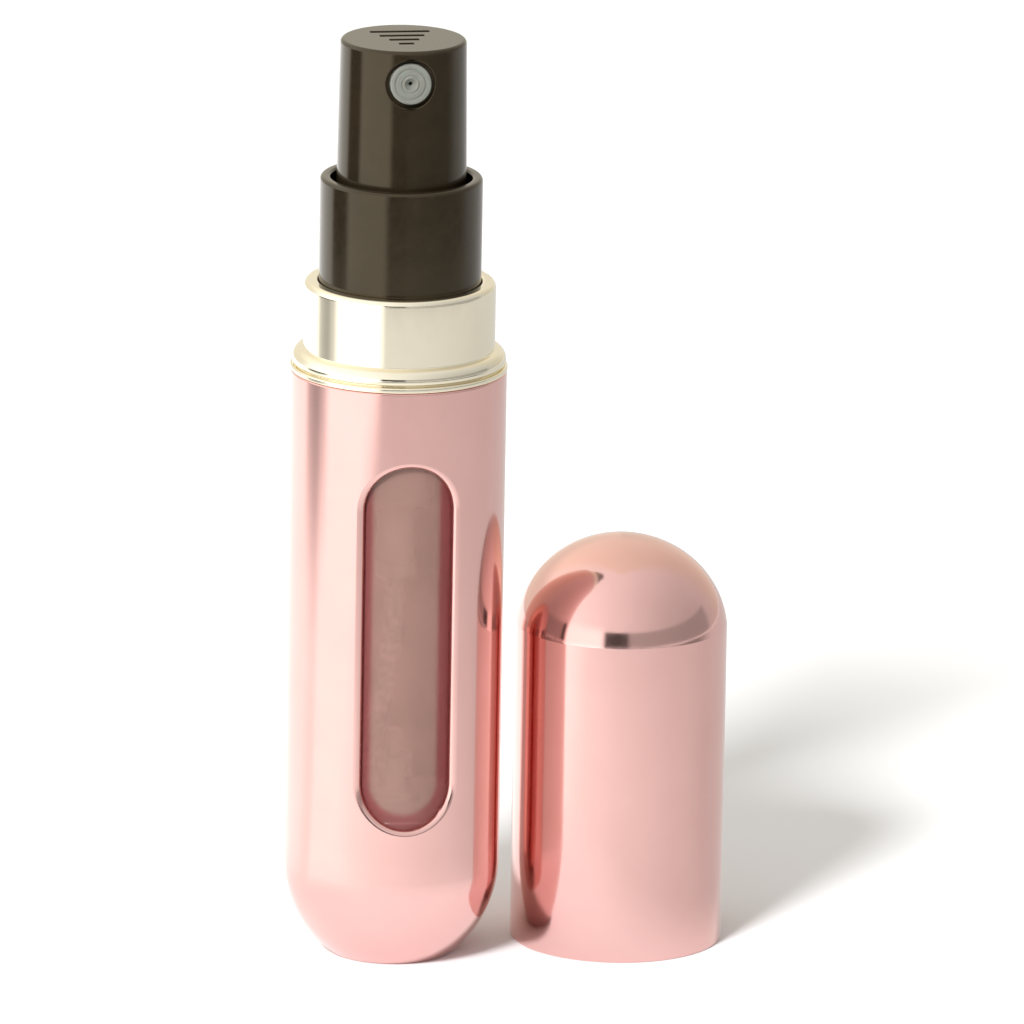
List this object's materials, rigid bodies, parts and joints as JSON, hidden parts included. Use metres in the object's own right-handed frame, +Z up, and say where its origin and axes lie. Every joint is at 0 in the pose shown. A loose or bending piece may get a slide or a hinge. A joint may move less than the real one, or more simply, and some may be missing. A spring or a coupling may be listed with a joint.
{
  "type": "refillable perfume atomiser",
  "caption": "Pocket perfume atomiser: slim metal shell with a long window, inner bottle, spray pump under a guarded button, bottom filling valve, and a domed cap standing beside it.",
  "frame": {"origin": "bottom centre of the box around the bottle and the cap, on the surface that both stand on", "axes": "+Z up along the bottle, from its rounded base to the button; -Y is the front, where the window and the spray nozzle face; +X from the bottle towards the cap beside it"},
  "size_m": [0.0354, 0.0192, 0.0739],
  "materials": {
    "pink_anodised": "mirror-bright pink anodised",
    "silver_metal": "bright champagne silver",
    "steel": "drawn stainless wire",
    "black_plastic": "gloss black",
    "grey_plastic": "natural grey",
    "white_plastic": "natural white",
    "clear_plastic": "clear",
    "rubber": "matt"
  },
  "bodies": {
    "bottle": {"outer_shell": "pink_anodised", "inner_bottle": "clear_plastic", "collar": "silver_metal", "guard_sleeve": "black_plastic", "neck_gasket": "rubber", "pump_housing": "white_plastic", "stem_seal": "white_plastic", "dip_tube": "clear_plastic", "pump_spring": "steel", "filler_body": "white_plastic", "filler_gasket": "rubber", "filler_cage": "white_plastic", "filler_spring": "steel"},
    "pump_plunger": {"pump_stem": "white_plastic", "pump_piston": "white_plastic", "pump_pin": "white_plastic"},
    "button": {"spray_button": "black_plastic", "spray_nozzle": "grey_plastic"},
    "inlet_ball": {"check_ball": "steel"},
    "filler_valve": {"filler_poppet": "white_plastic", "filler_seal": "rubber"},
    "cap": {"cap_shell": "pink_anodised", "cap_liner": "white_plastic"}
  },
  "joints": [
    {"name": "spray_press", "type": "slide", "parent": "bottle", "child": "pump_plunger", "axis": [0, 0, -1], "range_m": [0, 0.004], "stiffness_N_per_m": 1500, "springref_m": -0.004, "deforming": ["pump_spring"]},
    {"name": "button_turn", "type": "hinge", "parent": "pump_plunger", "child": "button", "pos_m": [-0.00911, -0.00107, 0.06], "axis": [0, 0, 1], "continuous": true},
    {"name": "ball_lift", "type": "slide", "parent": "bottle", "child": "inlet_ball", "axis": [0, 0, 1], "range_m": [0, 0.0005]},
    {"name": "filler_press", "type": "slide", "parent": "bottle", "child": "filler_valve", "axis": [0, 0, 1], "range_m": [0, 0.0015], "stiffness_N_per_m": 300, "springref_m": -0.002, "deforming": ["filler_spring"]},
    {"name": "cap_lift", "type": "slide", "parent": "bottle", "child": "cap", "axis": [0, 0, 1], "range_m": [0, 0.08]}
  ]
}
